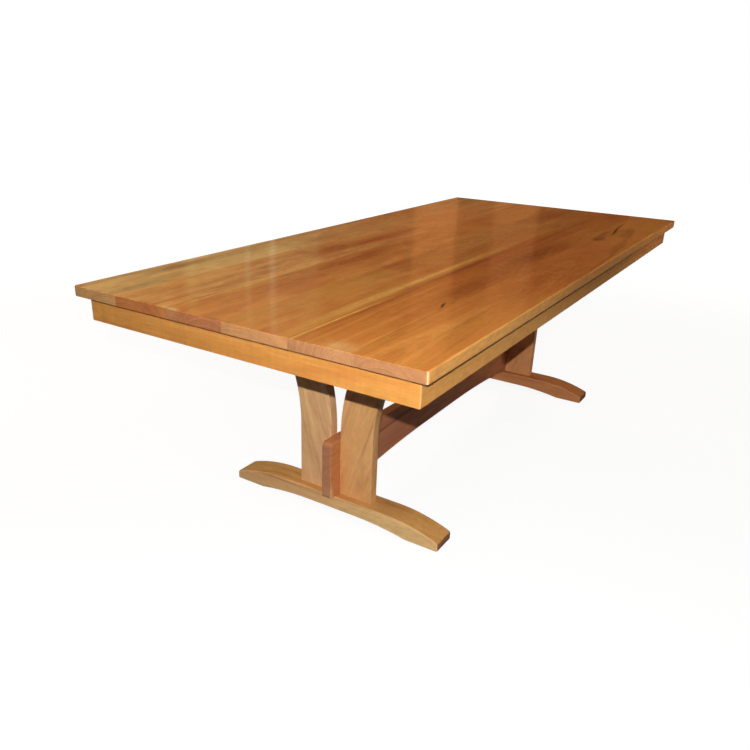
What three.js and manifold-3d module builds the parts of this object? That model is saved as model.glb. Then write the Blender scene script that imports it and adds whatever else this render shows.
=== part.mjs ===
// Pedestal dining table in solid timber.
// A glued-up board top sits on a mitred apron frame. Two pedestals carry it, each a shaped foot,
// a pair of posts that curve apart like a tulip and a bearer under the top. One waisted stretcher
// passes between the posts of both pedestals.
// Millimetres, +Z up. The origin is on the floor under the middle of the top, X runs along the
// table and Y across it. The near end is at -X, the left side at +Y.

import * as THREE from 'three';
import { mergeVertices } from 'three/addons/utils/BufferGeometryUtils.js';
import Module from 'manifold-3d';

// Whole table
const TABLE_LENGTH = 2400;
const TABLE_WIDTH = 1100;
const TABLE_HEIGHT = 760;

// Top: boards edge to edge, widths as shares of the table's width from the left side
const TOP_THICKNESS = 30;
const TOP_CORNER_RADIUS = 8;
const TOP_EDGE_RADIUS = 3;
const BOARD_WIDTH_SHARES = [0.154, 0.174, 0.165, 0.181, 0.164, 0.162];

// Apron frame under the top, mitred at its corners, grooved inside for the buttons
const TOP_OVERHANG = 28;
const APRON_HEIGHT = 70;
const APRON_THICKNESS = 22;
const APRON_CORNER_RADIUS = 5;
const APRON_EASING = 2;
const GROOVE_HEIGHT = 9;
const GROOVE_DEPTH = 10;
const GROOVE_BELOW_TOP = 10;
const CORNER_BLOCK_LEG = 60;
const CORNER_BLOCK_HEIGHT = 48;

// Buttons that hold the top down and let it swell across its width
const BUTTON_LENGTH = 40;
const BUTTON_REACH = 34;
const BUTTON_TONGUE = 9;
const BUTTON_MOVEMENT_GAP = 3;
const BUTTON_SCREW_INSET = 19;
const SIDE_BUTTON_PLACE_SHARES = [-0.22, 0.22];
const END_BUTTON_BOARD_SHARES = [0.2, 0.8];

// Pedestals
const PEDESTAL_SPACING = 1400;
const FOOT_LENGTH = 790;
const FOOT_WIDTH = 90;
const FOOT_HEIGHT = 65;
const FOOT_TIP_HEIGHT = 28.5;
const FOOT_TIP_RADIUS = 9;
const FOOT_TIP_UNDER_RADIUS = 6;
const FOOT_FLAT_LENGTH = 410;
const FOOT_PAD_LENGTH = 112;
const FOOT_RELIEF = 18;
const FOOT_RELIEF_FLAT_LENGTH = 180;
const FOOT_EASING = 4.5;

const POST_WIDTH = 120;
const POST_THICKNESS = 36;
const POST_BEND_START = 281;
const POST_BEND_RADIUS = 520;
const POST_STRAIGHT_TOP = 80;
const POST_EASING = 3;

const BEARER_WIDTH = 90;
const BEARER_HEIGHT = 50;
const BEARER_END_HEIGHT = 30;
const BEARER_TAPER_LENGTH = 150;
const BEARER_SCREW_OFFSET = 30;
const BEARER_SCREW_BOARD_SHARES = [0, 0.4, 0.6, 1];

const FOOT_TENON_WIDTH = 80;
const FOOT_TENON_DEPTH = 36;
const BEARER_TENON_WIDTH = 70;
const BEARER_TENON_DEPTH = 32;
const TENON_THICKNESS = 14;

// Stretcher: full depth between the posts, waisted between the pedestals
const STRETCHER_LENGTH = 1536;
const STRETCHER_THICKNESS = 35;
const STRETCHER_END_DEPTH = 197;
const STRETCHER_WAIST_DEPTH = 109;
const STRETCHER_WAIST_LENGTH = 460;
const STRETCHER_TOP_RADIUS = 14;
const STRETCHER_UNDER_RADIUS = 9;
const STRETCHER_EASING = 2.5;
const STRETCHER_DOWEL_LENGTH = 99;
const STRETCHER_DOWEL_RADIUS = 6;
const STRETCHER_DOWEL_HEIGHT_SHARES = [0.27, 0.73];

// Batten across the middle of the top
const BATTEN_WIDTH = 70;
const BATTEN_THICKNESS = 24;
const BATTEN_LENGTH = 960;
const BATTEN_TAPER_LENGTH = 120;
const BATTEN_END_THICKNESS = 12;
const BATTEN_EASING = 1.5;

// Screws
const SCREW_SHANK_RADIUS = 2.5;
const SCREW_HEAD_RADIUS = 5;
const SCREW_HEAD_HEIGHT = 3.5;
const SCREW_TIP_LENGTH = 6;
const SCREW_BITE = 19;
const SCREW_SLOT_CLEARANCE = 1.5;
const COUNTERBORE_RADIUS = 8;
const COUNTERBORE_DEPTH = 26;

// Fits, cuts and how finely curves are divided
const JOINT_GAP = 0.3;
const CUT_OVERRUN = 5;
const CURVE_STEPS = 14;
const CORNER_STEPS = 4;
const EASING_STEPS = 2;
const ROUND_SIDES = 10;

// Heights and half sizes that follow from the values above
const topUnderside = TABLE_HEIGHT - TOP_THICKNESS;
const apronBottom = topUnderside - APRON_HEIGHT;
const apronHalfLength = TABLE_LENGTH / 2 - TOP_OVERHANG;
const apronHalfWidth = TABLE_WIDTH / 2 - TOP_OVERHANG;
const innerHalfLength = apronHalfLength - APRON_THICKNESS;
const innerHalfWidth = apronHalfWidth - APRON_THICKNESS;
const grooveTop = topUnderside - GROOVE_BELOW_TOP;
const bearerUnderside = topUnderside - BEARER_HEIGHT;
const stretcherTop = FOOT_HEIGHT + STRETCHER_END_DEPTH;
const pedestalX = PEDESTAL_SPACING / 2;

const wasm = await Module();
wasm.setup();

// Solids and geometry
function toSolid(geometry) {
  const bare = geometry.clone();
  bare.deleteAttribute('normal');
  bare.deleteAttribute('uv');
  const merged = mergeVertices(bare);
  return new wasm.Manifold(new wasm.Mesh({
    numProp: 3,
    vertProperties: merged.attributes.position.array,
    triVerts: merged.index.array,
  }));
}

function toGeometry(solid) {
  const mesh = solid.getMesh();
  const geometry = new THREE.BufferGeometry();
  geometry.setAttribute('position', new THREE.BufferAttribute(mesh.vertProperties, 3));
  geometry.setIndex(new THREE.BufferAttribute(mesh.triVerts, 1));
  const faceted = geometry.toNonIndexed();
  faceted.computeVertexNormals();
  return faceted;
}

function cut(solid, tools) {
  return tools.reduce((rest, tool) => rest.subtract(tool), solid);
}

// A block between two corners, given as [low, high] along X, Y and Z
function block([x0, x1], [y0, y1], [z0, z1]) {
  const geometry = new THREE.BoxGeometry(x1 - x0, y1 - y0, z1 - z0);
  geometry.translate((x0 + x1) / 2, (y0 + y1) / 2, (z0 + z1) / 2);
  return geometry;
}

// An outline extruded and centred on its own plane, with the edges round both faces eased
function prism(points, depth, easing = 0, hole = null) {
  const shape = new THREE.Shape(points.map(([x, y]) => new THREE.Vector2(x, y)));
  if (hole) {
    shape.holes.push(new THREE.Path(hole.map(([x, y]) => new THREE.Vector2(x, y))));
  }
  const geometry = new THREE.ExtrudeGeometry(shape, {
    depth: depth - 2 * easing,
    bevelEnabled: easing > 0,
    bevelThickness: easing,
    bevelSize: easing,
    bevelOffset: -easing,
    bevelSegments: EASING_STEPS,
  });
  return geometry.translate(0, 0, easing - depth / 2);
}

// The two ways a profile is turned upright: drawn in Y and Z, or drawn in X and Z
const alongX = new THREE.Matrix4().makeBasis(
  new THREE.Vector3(0, 1, 0), new THREE.Vector3(0, 0, 1), new THREE.Vector3(1, 0, 0));
const alongY = new THREE.Matrix4().makeBasis(
  new THREE.Vector3(1, 0, 0), new THREE.Vector3(0, 0, 1), new THREE.Vector3(0, -1, 0));

function rod(radius, from, to) {
  const geometry = new THREE.CylinderGeometry(radius, radius, to - from, ROUND_SIDES);
  return geometry.rotateX(Math.PI / 2).translate(0, 0, (from + to) / 2);
}

// Outlines
function arc([cx, cy], radius, from, to, steps = CURVE_STEPS) {
  return Array.from({ length: steps + 1 }, (_, i) => {
    const angle = from + (to - from) * i / steps;
    return [cx + radius * Math.cos(angle), cy + radius * Math.sin(angle)];
  });
}

// The points that round the corner between two straight edges
function rounded(before, corner, after, radius) {
  const at = new THREE.Vector2(...corner);
  const back = new THREE.Vector2(...before).sub(at).normalize();
  const on = new THREE.Vector2(...after).sub(at).normalize();
  const half = Math.acos(back.dot(on)) / 2;
  const middle = back.clone().add(on).normalize();
  const centre = at.clone().addScaledVector(middle, radius / Math.sin(half));
  const start = at.clone().addScaledVector(back, radius / Math.tan(half)).sub(centre);
  const turn = (Math.PI - 2 * half) * Math.sign(start.cross(middle.clone().negate()));
  return Array.from({ length: CORNER_STEPS + 1 }, (_, i) => {
    const point = start.clone().rotateAround(new THREE.Vector2(), turn * i / CORNER_STEPS).add(centre);
    return [point.x, point.y];
  });
}

function roundedRectangle(halfX, halfY, radius) {
  const corners = [[-halfX, -halfY], [halfX, -halfY], [halfX, halfY], [-halfX, halfY]];
  return corners.flatMap((corner, i) =>
    rounded(corners.at(i - 1), corner, corners[(i + 1) % corners.length], radius));
}

// A half outline that runs from the middle outwards and back, closed by its mirror image
function mirrored(half) {
  return [...half, ...half.toReversed().map(([x, y]) => [-x, y])];
}

function mesh(name, geometry, [color, roughness]) {
  const material = new THREE.MeshStandardMaterial({ color, roughness, metalness: 0 });
  const piece = new THREE.Mesh(geometry, material);
  piece.name = name;
  return piece;
}

// Finishes: colour and roughness
const BOARD_COLORS = [0xb07a45, 0xc08a50, 0xb9763c, 0xc4844a, 0xb56f38, 0xc78d4e];
const BOARD_ROUGHNESS = 0.28;
const honeyTimber = [0xc88440, 0.35];
const postTimber = [0xc7935c, 0.4];
const footTimber = [0xb98348, 0.4];
const redTimber = [0x8a5434, 0.42];
const paleTimber = [0xd8b98c, 0.6];
const screwSteel = [0x9a9a98, 0.35];

// Boards: where each starts and ends across the table, from the left side
const shareTotal = BOARD_WIDTH_SHARES.reduce((sum, share) => sum + share, 0);
const boards = BOARD_WIDTH_SHARES.map((share, i) => {
  const before = BOARD_WIDTH_SHARES.slice(0, i).reduce((sum, part) => sum + part, 0);
  const left = TABLE_WIDTH / 2 - TABLE_WIDTH * before / shareTotal;
  const right = left - TABLE_WIDTH * share / shareTotal;
  return { left, right, middle: (left + right) / 2 };
});

// The board that lies a share of the way across, from the first board to the last
function boardAt(share) {
  return boards[Math.round(share * (boards.length - 1))];
}

// Places of the screws, each with the height at which its head bears
const bearerScrews = BEARER_SCREW_BOARD_SHARES.map((share, i) => ({
  x: BEARER_SCREW_OFFSET * (i % 2 ? 1 : -1),
  y: boardAt(share).middle,
  seat: bearerUnderside + COUNTERBORE_DEPTH,
}));
const battenScrews = boards.map((board) => ({
  x: 0,
  y: THREE.MathUtils.clamp(board.middle, BATTEN_TAPER_LENGTH - BATTEN_LENGTH / 2,
    BATTEN_LENGTH / 2 - BATTEN_TAPER_LENGTH),
  seat: topUnderside - BATTEN_THICKNESS,
}));

// Buttons: a place on the inner face of an apron and the turn that faces it inwards
const buttonPlaces = [
  ...SIDE_BUTTON_PLACE_SHARES.flatMap((share) => [
    { x: share * TABLE_LENGTH, y: innerHalfWidth, turn: -Math.PI / 2 },
    { x: share * TABLE_LENGTH, y: -innerHalfWidth, turn: Math.PI / 2 },
  ]),
  ...END_BUTTON_BOARD_SHARES.flatMap((share) => [
    { x: -innerHalfLength, y: boardAt(share).middle, turn: 0 },
    { x: innerHalfLength, y: boardAt(share).middle, turn: Math.PI },
  ]),
];
const buttonBottom = grooveTop - JOINT_GAP - (GROOVE_HEIGHT - 2 * JOINT_GAP);
const buttonScrews = buttonPlaces.map(({ x, y, turn }) => ({
  x: x + BUTTON_SCREW_INSET * Math.cos(turn),
  y: y + BUTTON_SCREW_INSET * Math.sin(turn),
  seat: buttonBottom,
}));

// A pan-head wood screw that points up, its head under the seat and its tip in the top
function screw(name, { x, y, seat }) {
  const tip = topUnderside + SCREW_BITE;
  const profile = [
    [0, seat - SCREW_HEAD_HEIGHT],
    [SCREW_HEAD_RADIUS / 2, seat - SCREW_HEAD_HEIGHT],
    [SCREW_HEAD_RADIUS, seat - SCREW_HEAD_HEIGHT / 2],
    [SCREW_HEAD_RADIUS, seat],
    [SCREW_SHANK_RADIUS, seat],
    [SCREW_SHANK_RADIUS, tip - SCREW_TIP_LENGTH],
    [0, tip],
  ];
  const lathe = new THREE.LatheGeometry(profile.map((p) => new THREE.Vector2(...p)), ROUND_SIDES);
  const piece = mesh(name, lathe.rotateX(Math.PI / 2), screwSteel);
  piece.position.set(x, y, 0);
  return piece;
}

function pilotHole({ x, y }) {
  const depth = topUnderside + SCREW_BITE + JOINT_GAP;
  return toSolid(rod(SCREW_SHANK_RADIUS + JOINT_GAP, topUnderside - CUT_OVERRUN, depth).translate(x, y, 0));
}

function screwSlot({ x, y }, from, to) {
  return toSolid(rod(SCREW_SHANK_RADIUS + SCREW_SLOT_CLEARANCE, from, to).translate(x, y, 0));
}

// Top: one slab with eased edges, sawn along the glue lines into its boards
function topBoards() {
  const outline = roundedRectangle(TABLE_LENGTH / 2, TABLE_WIDTH / 2, TOP_CORNER_RADIUS);
  const slab = prism(outline, TOP_THICKNESS, TOP_EDGE_RADIUS);
  const top = toSolid(slab.translate(0, 0, topUnderside + TOP_THICKNESS / 2));
  const screwPlaces = [
    ...buttonScrews,
    ...battenScrews,
    ...[-pedestalX, pedestalX].flatMap((x) => bearerScrews.map((place) => ({ ...place, x: x + place.x }))),
  ];
  const drilled = cut(top, screwPlaces.map(pilotHole));
  return boards.map(({ left, right }, i) => {
    const leftEdge = left + (i === 0 ? CUT_OVERRUN : 0);
    const rightEdge = right - (i === boards.length - 1 ? CUT_OVERRUN : 0);
    const strip = toSolid(block(
      [-TABLE_LENGTH / 2 - CUT_OVERRUN, TABLE_LENGTH / 2 + CUT_OVERRUN],
      [rightEdge, leftEdge],
      [topUnderside - CUT_OVERRUN, TABLE_HEIGHT + CUT_OVERRUN],
    ));
    return mesh(`top_board_${i + 1}`, toGeometry(drilled.intersect(strip)), [BOARD_COLORS[i], BOARD_ROUGHNESS]);
  });
}

// Apron frame: one grooved ring, parted at its mitres into four aprons
function aprons() {
  const outer = roundedRectangle(apronHalfLength, apronHalfWidth, APRON_CORNER_RADIUS);
  const inner = [
    [-innerHalfLength, -innerHalfWidth], [innerHalfLength, -innerHalfWidth],
    [innerHalfLength, innerHalfWidth], [-innerHalfLength, innerHalfWidth],
  ];
  const ring = prism(outer, APRON_HEIGHT, APRON_EASING, inner);
  const groove = block(
    [-innerHalfLength - GROOVE_DEPTH, innerHalfLength + GROOVE_DEPTH],
    [-innerHalfWidth - GROOVE_DEPTH, innerHalfWidth + GROOVE_DEPTH],
    [grooveTop - GROOVE_HEIGHT, grooveTop],
  );
  const frame = cut(toSolid(ring.translate(0, 0, apronBottom + APRON_HEIGHT / 2)), [toSolid(groove)]);
  const sides = [
    ['apron_side_left', apronHalfLength, apronHalfWidth, 0],
    ['apron_end_near', apronHalfWidth, apronHalfLength, Math.PI / 2],
    ['apron_side_right', apronHalfLength, apronHalfWidth, Math.PI],
    ['apron_end_far', apronHalfWidth, apronHalfLength, -Math.PI / 2],
  ];
  return sides.map(([name, halfSpan, reach, turn]) => {
    const inset = JOINT_GAP / Math.SQRT2;
    const inward = APRON_THICKNESS + CUT_OVERRUN;
    const wedge = prism([
      [-halfSpan + inward + inset, reach - inward],
      [halfSpan - inward - inset, reach - inward],
      [halfSpan + CUT_OVERRUN - inset, reach + CUT_OVERRUN],
      [-halfSpan - CUT_OVERRUN + inset, reach + CUT_OVERRUN],
    ], APRON_HEIGHT + 2 * CUT_OVERRUN);
    wedge.rotateZ(turn).translate(0, 0, apronBottom + APRON_HEIGHT / 2);
    return mesh(name, toGeometry(frame.intersect(toSolid(wedge))), honeyTimber);
  });
}

// Glue blocks in the corners of the apron frame
function cornerBlocks() {
  const corners = [
    ['near_right', 0, -innerHalfLength, -innerHalfWidth],
    ['far_right', Math.PI / 2, innerHalfLength, -innerHalfWidth],
    ['far_left', Math.PI, innerHalfLength, innerHalfWidth],
    ['near_left', -Math.PI / 2, -innerHalfLength, innerHalfWidth],
  ];
  return corners.map(([place, turn, x, y]) => {
    const triangle = [
      [JOINT_GAP, JOINT_GAP],
      [CORNER_BLOCK_LEG, JOINT_GAP],
      [JOINT_GAP, CORNER_BLOCK_LEG],
    ];
    const piece = mesh(`corner_block_${place}`, prism(triangle, CORNER_BLOCK_HEIGHT), paleTimber);
    piece.position.set(x, y, apronBottom + APRON_HEIGHT / 2);
    piece.rotation.z = turn;
    return piece;
  });
}

// Buttons: a tongue in the apron's groove, a body screwed up into the top
function buttons() {
  const tongueTop = grooveTop - JOINT_GAP;
  const profile = [
    [-BUTTON_TONGUE, buttonBottom],
    [BUTTON_REACH, buttonBottom],
    [BUTTON_REACH, topUnderside],
    [BUTTON_MOVEMENT_GAP, topUnderside],
    [BUTTON_MOVEMENT_GAP, tongueTop],
    [-BUTTON_TONGUE, tongueTop],
  ];
  const slot = screwSlot({ x: BUTTON_SCREW_INSET, y: 0 }, buttonBottom - CUT_OVERRUN, topUnderside + CUT_OVERRUN);
  const body = toSolid(prism(profile, BUTTON_LENGTH).applyMatrix4(alongY));
  const button = toGeometry(cut(body, [slot]));
  const set = buttonPlaces.map(({ x, y, turn }, i) => {
    const piece = mesh(`apron_button_${i + 1}`, button, paleTimber);
    piece.position.set(x, y, 0);
    piece.rotation.z = turn;
    return piece;
  });
  return [...set, ...buttonScrews.map((place, i) => screw(`button_screw_${i + 1}`, place))];
}

// A cross rail under the top whose underside rises to thinner ends, drawn in Y and Z
function taperedRail(halfLength, height, endHeight, taperLength) {
  return mirrored([
    [0, topUnderside - height],
    [halfLength - taperLength, topUnderside - height],
    [halfLength, topUnderside - endHeight],
    [halfLength, topUnderside],
  ]);
}

function batten() {
  const outline = taperedRail(BATTEN_LENGTH / 2, BATTEN_THICKNESS, BATTEN_END_THICKNESS, BATTEN_TAPER_LENGTH);
  const rail = toSolid(prism(outline, BATTEN_WIDTH, BATTEN_EASING).applyMatrix4(alongX));
  const slots = battenScrews.map((place) =>
    screwSlot(place, place.seat - CUT_OVERRUN, topUnderside + CUT_OVERRUN));
  return [
    mesh('centre_batten', toGeometry(cut(rail, slots)), paleTimber),
    ...battenScrews.map((place, i) => screw(`batten_screw_${i + 1}`, place)),
  ];
}

// Posts: parallel edges that stand straight, then sweep outwards on one centre
const postInner = STRETCHER_THICKNESS / 2;
const postOuter = postInner + POST_WIDTH;
const bendCentre = [postOuter + POST_BEND_RADIUS, POST_BEND_START];
const innerBendRadius = POST_BEND_RADIUS + POST_WIDTH;
const postLean = Math.asin((bearerUnderside - POST_STRAIGHT_TOP - POST_BEND_START) / innerBendRadius);

// Where a post's edge of a given bend radius reaches a given height above its bend
function leaningEdge(radius, height) {
  const rise = height - POST_BEND_START - radius * Math.sin(postLean);
  return bendCentre[0] - radius * Math.cos(postLean) + rise * Math.tan(postLean);
}

const tenonMiddle = {
  foot: (postInner + postOuter) / 2,
  bearer: (leaningEdge(innerBendRadius, bearerUnderside) + leaningEdge(POST_BEND_RADIUS, bearerUnderside)) / 2,
};

// A tenon on the left post, or its mortise when a clearance is given
function tenon(middle, width, [low, high], clearance = 0) {
  return block(
    [-TENON_THICKNESS / 2 - clearance, TENON_THICKNESS / 2 + clearance],
    [middle - width / 2 - clearance, middle + width / 2 + clearance],
    [low, high],
  );
}

function footTenon(clearance = 0) {
  const low = FOOT_HEIGHT - FOOT_TENON_DEPTH - clearance;
  return tenon(tenonMiddle.foot, FOOT_TENON_WIDTH, [low, FOOT_HEIGHT + CUT_OVERRUN], clearance);
}

function bearerTenon(clearance = 0) {
  const high = bearerUnderside + BEARER_TENON_DEPTH + clearance;
  return tenon(tenonMiddle.bearer, BEARER_TENON_WIDTH, [bearerUnderside - CUT_OVERRUN, high], clearance);
}

// The same tool for the left post and, mirrored, for the right one
function bothSides(geometry) {
  return [toSolid(geometry), toSolid(geometry.clone().rotateZ(Math.PI))];
}

const dowelHeights = STRETCHER_DOWEL_HEIGHT_SHARES.map((share) => FOOT_HEIGHT + share * STRETCHER_END_DEPTH);

function dowel(height, clearance = 0) {
  const reach = STRETCHER_DOWEL_LENGTH / 2 + clearance;
  return rod(STRETCHER_DOWEL_RADIUS + clearance, -reach, reach).rotateX(Math.PI / 2).translate(0, 0, height);
}

function postSolid() {
  const over = bearerUnderside + CUT_OVERRUN;
  const under = FOOT_HEIGHT - CUT_OVERRUN;
  const outline = [
    [postOuter, under],
    ...arc(bendCentre, POST_BEND_RADIUS, Math.PI, Math.PI - postLean),
    [leaningEdge(POST_BEND_RADIUS, over), over],
    [leaningEdge(innerBendRadius, over), over],
    ...arc(bendCentre, innerBendRadius, Math.PI - postLean, Math.PI),
    [postInner, under],
  ];
  const blank = toSolid(prism(outline, POST_THICKNESS, POST_EASING).applyMatrix4(alongX));
  const shoulders = toSolid(block(
    [-POST_THICKNESS, POST_THICKNESS],
    [0, 2 * leaningEdge(POST_BEND_RADIUS, over)],
    [FOOT_HEIGHT, bearerUnderside],
  ));
  const tenoned = blank.intersect(shoulders).add(toSolid(footTenon())).add(toSolid(bearerTenon()));
  return cut(tenoned, dowelHeights.map((height) => toSolid(dowel(height, JOINT_GAP))));
}

// Foot: flat under the posts, falling on an arc to low tips, relieved underneath between its pads
function footOutline() {
  const half = FOOT_LENGTH / 2;
  const run = half - FOOT_FLAT_LENGTH / 2;
  const drop = FOOT_HEIGHT - FOOT_TIP_HEIGHT;
  const topRadius = (run ** 2 + drop ** 2) / (2 * drop);
  const fall = Math.asin(run / topRadius);
  const top = arc([FOOT_FLAT_LENGTH / 2, FOOT_HEIGHT - topRadius], topRadius, Math.PI / 2 - fall, Math.PI / 2);
  const tip = rounded([half, 0], [half, FOOT_TIP_HEIGHT], top[1], FOOT_TIP_RADIUS);
  const reliefHalf = FOOT_RELIEF_FLAT_LENGTH / 2;
  const rise = half - FOOT_PAD_LENGTH - reliefHalf;
  const reliefRadius = (rise ** 2 + FOOT_RELIEF ** 2) / (2 * FOOT_RELIEF);
  const reliefTurn = Math.asin(rise / reliefRadius);
  const up = Math.PI / 2;
  return mirrored([
    ...arc([reliefHalf, FOOT_RELIEF - reliefRadius], reliefRadius, up, up - reliefTurn),
    ...rounded([0, 0], [half, 0], [half, FOOT_TIP_HEIGHT], FOOT_TIP_UNDER_RADIUS),
    ...tip,
    ...top.slice(1),
  ]);
}

function pedestal(place, x) {
  const group = new THREE.Group();
  group.position.x = x;
  const foot = cut(
    toSolid(prism(footOutline(), FOOT_WIDTH, FOOT_EASING).applyMatrix4(alongX)),
    bothSides(footTenon(JOINT_GAP)),
  );
  const rail = taperedRail(innerHalfWidth, BEARER_HEIGHT, BEARER_END_HEIGHT, BEARER_TAPER_LENGTH);
  const bearer = cut(toSolid(prism(rail, BEARER_WIDTH).applyMatrix4(alongX)), [
    ...bothSides(bearerTenon(JOINT_GAP)),
    ...bearerScrews.flatMap((screwPlace) => [
      screwSlot(screwPlace, bearerUnderside - CUT_OVERRUN, topUnderside + CUT_OVERRUN),
      toSolid(rod(COUNTERBORE_RADIUS, bearerUnderside - CUT_OVERRUN, screwPlace.seat)
        .translate(screwPlace.x, screwPlace.y, 0)),
    ]),
  ]);
  const post = toGeometry(postSolid());
  const rightPost = mesh(`post_${place}_right`, post, postTimber);
  rightPost.rotation.z = Math.PI;
  group.add(
    mesh(`foot_${place}`, toGeometry(foot), footTimber),
    mesh(`post_${place}_left`, post, postTimber),
    rightPost,
    mesh(`bearer_${place}`, toGeometry(bearer), paleTimber),
    ...dowelHeights.map((height, i) => mesh(`stretcher_dowel_${place}_${i + 1}`, dowel(height), paleTimber)),
    ...bearerScrews.map((screwPlace, i) => screw(`bearer_screw_${place}_${i + 1}`, screwPlace)),
  );
  return group;
}

// Stretcher: parallel waist, then an arc above and below out to full depth at the posts
function stretcher() {
  const half = STRETCHER_LENGTH / 2;
  const waistHalf = STRETCHER_WAIST_LENGTH / 2;
  const fullDepthStart = pedestalX - POST_THICKNESS / 2;
  const run = fullDepthStart - waistHalf;
  const rise = (STRETCHER_END_DEPTH - STRETCHER_WAIST_DEPTH) / 2;
  const radius = (run ** 2 + rise ** 2) / (2 * rise);
  const sweep = Math.asin(run / radius);
  const up = Math.PI / 2;
  const outline = mirrored([
    ...arc([waistHalf, FOOT_HEIGHT + rise - radius], radius, up, up - sweep),
    ...rounded([0, FOOT_HEIGHT], [half, FOOT_HEIGHT], [half, stretcherTop], STRETCHER_UNDER_RADIUS),
    ...rounded([half, FOOT_HEIGHT], [half, stretcherTop], [0, stretcherTop], STRETCHER_TOP_RADIUS),
    ...arc([waistHalf, stretcherTop - rise + radius], radius, sweep - up, -up),
  ]);
  const rail = toSolid(prism(outline, STRETCHER_THICKNESS, STRETCHER_EASING).applyMatrix4(alongY));
  const holes = [-pedestalX, pedestalX].flatMap((x) =>
    dowelHeights.map((height) => toSolid(dowel(height, JOINT_GAP).translate(x, 0, 0))));
  return mesh('stretcher', toGeometry(cut(rail, holes)), redTimber);
}

const table = new THREE.Group();
table.add(
  ...topBoards(),
  ...aprons(),
  ...cornerBlocks(),
  ...buttons(),
  ...batten(),
  pedestal('near', -pedestalX),
  pedestal('far', pedestalX),
  stretcher(),
);

export default table;
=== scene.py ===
"""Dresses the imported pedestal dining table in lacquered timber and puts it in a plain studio.

The timber is a solid pattern: growth rings round a pith, bent by the wander of the grain, so that
faces, edges and end grain of one piece agree. Metres, +Z up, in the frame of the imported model.
"""

import math
from dataclasses import dataclass, replace

import bmesh
import bpy
from bpy.props import FloatProperty, FloatVectorProperty, PointerProperty
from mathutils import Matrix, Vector


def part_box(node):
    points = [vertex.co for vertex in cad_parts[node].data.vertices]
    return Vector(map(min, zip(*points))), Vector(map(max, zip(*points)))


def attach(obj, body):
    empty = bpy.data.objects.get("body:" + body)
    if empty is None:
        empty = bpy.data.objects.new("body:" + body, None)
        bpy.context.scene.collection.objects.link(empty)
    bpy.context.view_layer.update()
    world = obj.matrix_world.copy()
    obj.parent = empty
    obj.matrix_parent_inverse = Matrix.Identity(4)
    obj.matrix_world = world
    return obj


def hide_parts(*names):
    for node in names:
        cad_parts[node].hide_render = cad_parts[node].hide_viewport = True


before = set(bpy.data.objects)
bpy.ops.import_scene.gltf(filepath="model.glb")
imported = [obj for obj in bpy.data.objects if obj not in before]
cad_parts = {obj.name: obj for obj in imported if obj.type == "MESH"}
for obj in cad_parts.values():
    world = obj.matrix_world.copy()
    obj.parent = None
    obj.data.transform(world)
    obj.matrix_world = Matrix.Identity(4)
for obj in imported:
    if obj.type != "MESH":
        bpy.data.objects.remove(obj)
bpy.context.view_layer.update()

bl_info = {
    "name": "Pedestal Dining Table",
    "version": (1, 0, 0),
    "blender": (4, 5, 0),
    "location": "3D View > Sidebar > Table",
    "description": "Timber, lacquer, screws and studio for a pedestal dining table",
    "category": "Object",
}

BODY = "root"

# The picture that the camera is set for, in pixels, and its sensor in millimetres
PICTURE_SIDE = 750
SENSOR_WIDTH = 36.0


# Colours
def linear(colour):
    """An sRGB colour, as it looks on a screen, in the linear values that shaders take."""
    return tuple(c / 12.92 if c <= 0.04045 else ((c + 0.055) / 1.055) ** 2.4 for c in colour)


def shade(red, green, blue):
    """A linear colour from the three numbers of a paint chart."""
    return linear((red / 255, green / 255, blue / 255))


def opaque(colour):
    return (*colour, 1.0)


# Shader sums written as Python
class Wire:
    """The output of a node. A sum on wires adds the Math nodes that work it out."""

    def __init__(self, graph, socket):
        self.graph = graph
        self.socket = socket

    def __add__(self, other):
        return self.graph.sum("ADD", self, other)

    def __radd__(self, other):
        return self.graph.sum("ADD", other, self)

    def __sub__(self, other):
        return self.graph.sum("SUBTRACT", self, other)

    def __rsub__(self, other):
        return self.graph.sum("SUBTRACT", other, self)

    def __mul__(self, other):
        return self.graph.sum("MULTIPLY", self, other)

    def __rmul__(self, other):
        return self.graph.sum("MULTIPLY", other, self)

    def __truediv__(self, other):
        return self.graph.sum("DIVIDE", self, other)

    def __pow__(self, other):
        return self.graph.sum("POWER", self, other)

    def __neg__(self):
        return self.graph.sum("MULTIPLY", self, -1.0)

    def __abs__(self):
        return self.graph.sum("ABSOLUTE", self)


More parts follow.
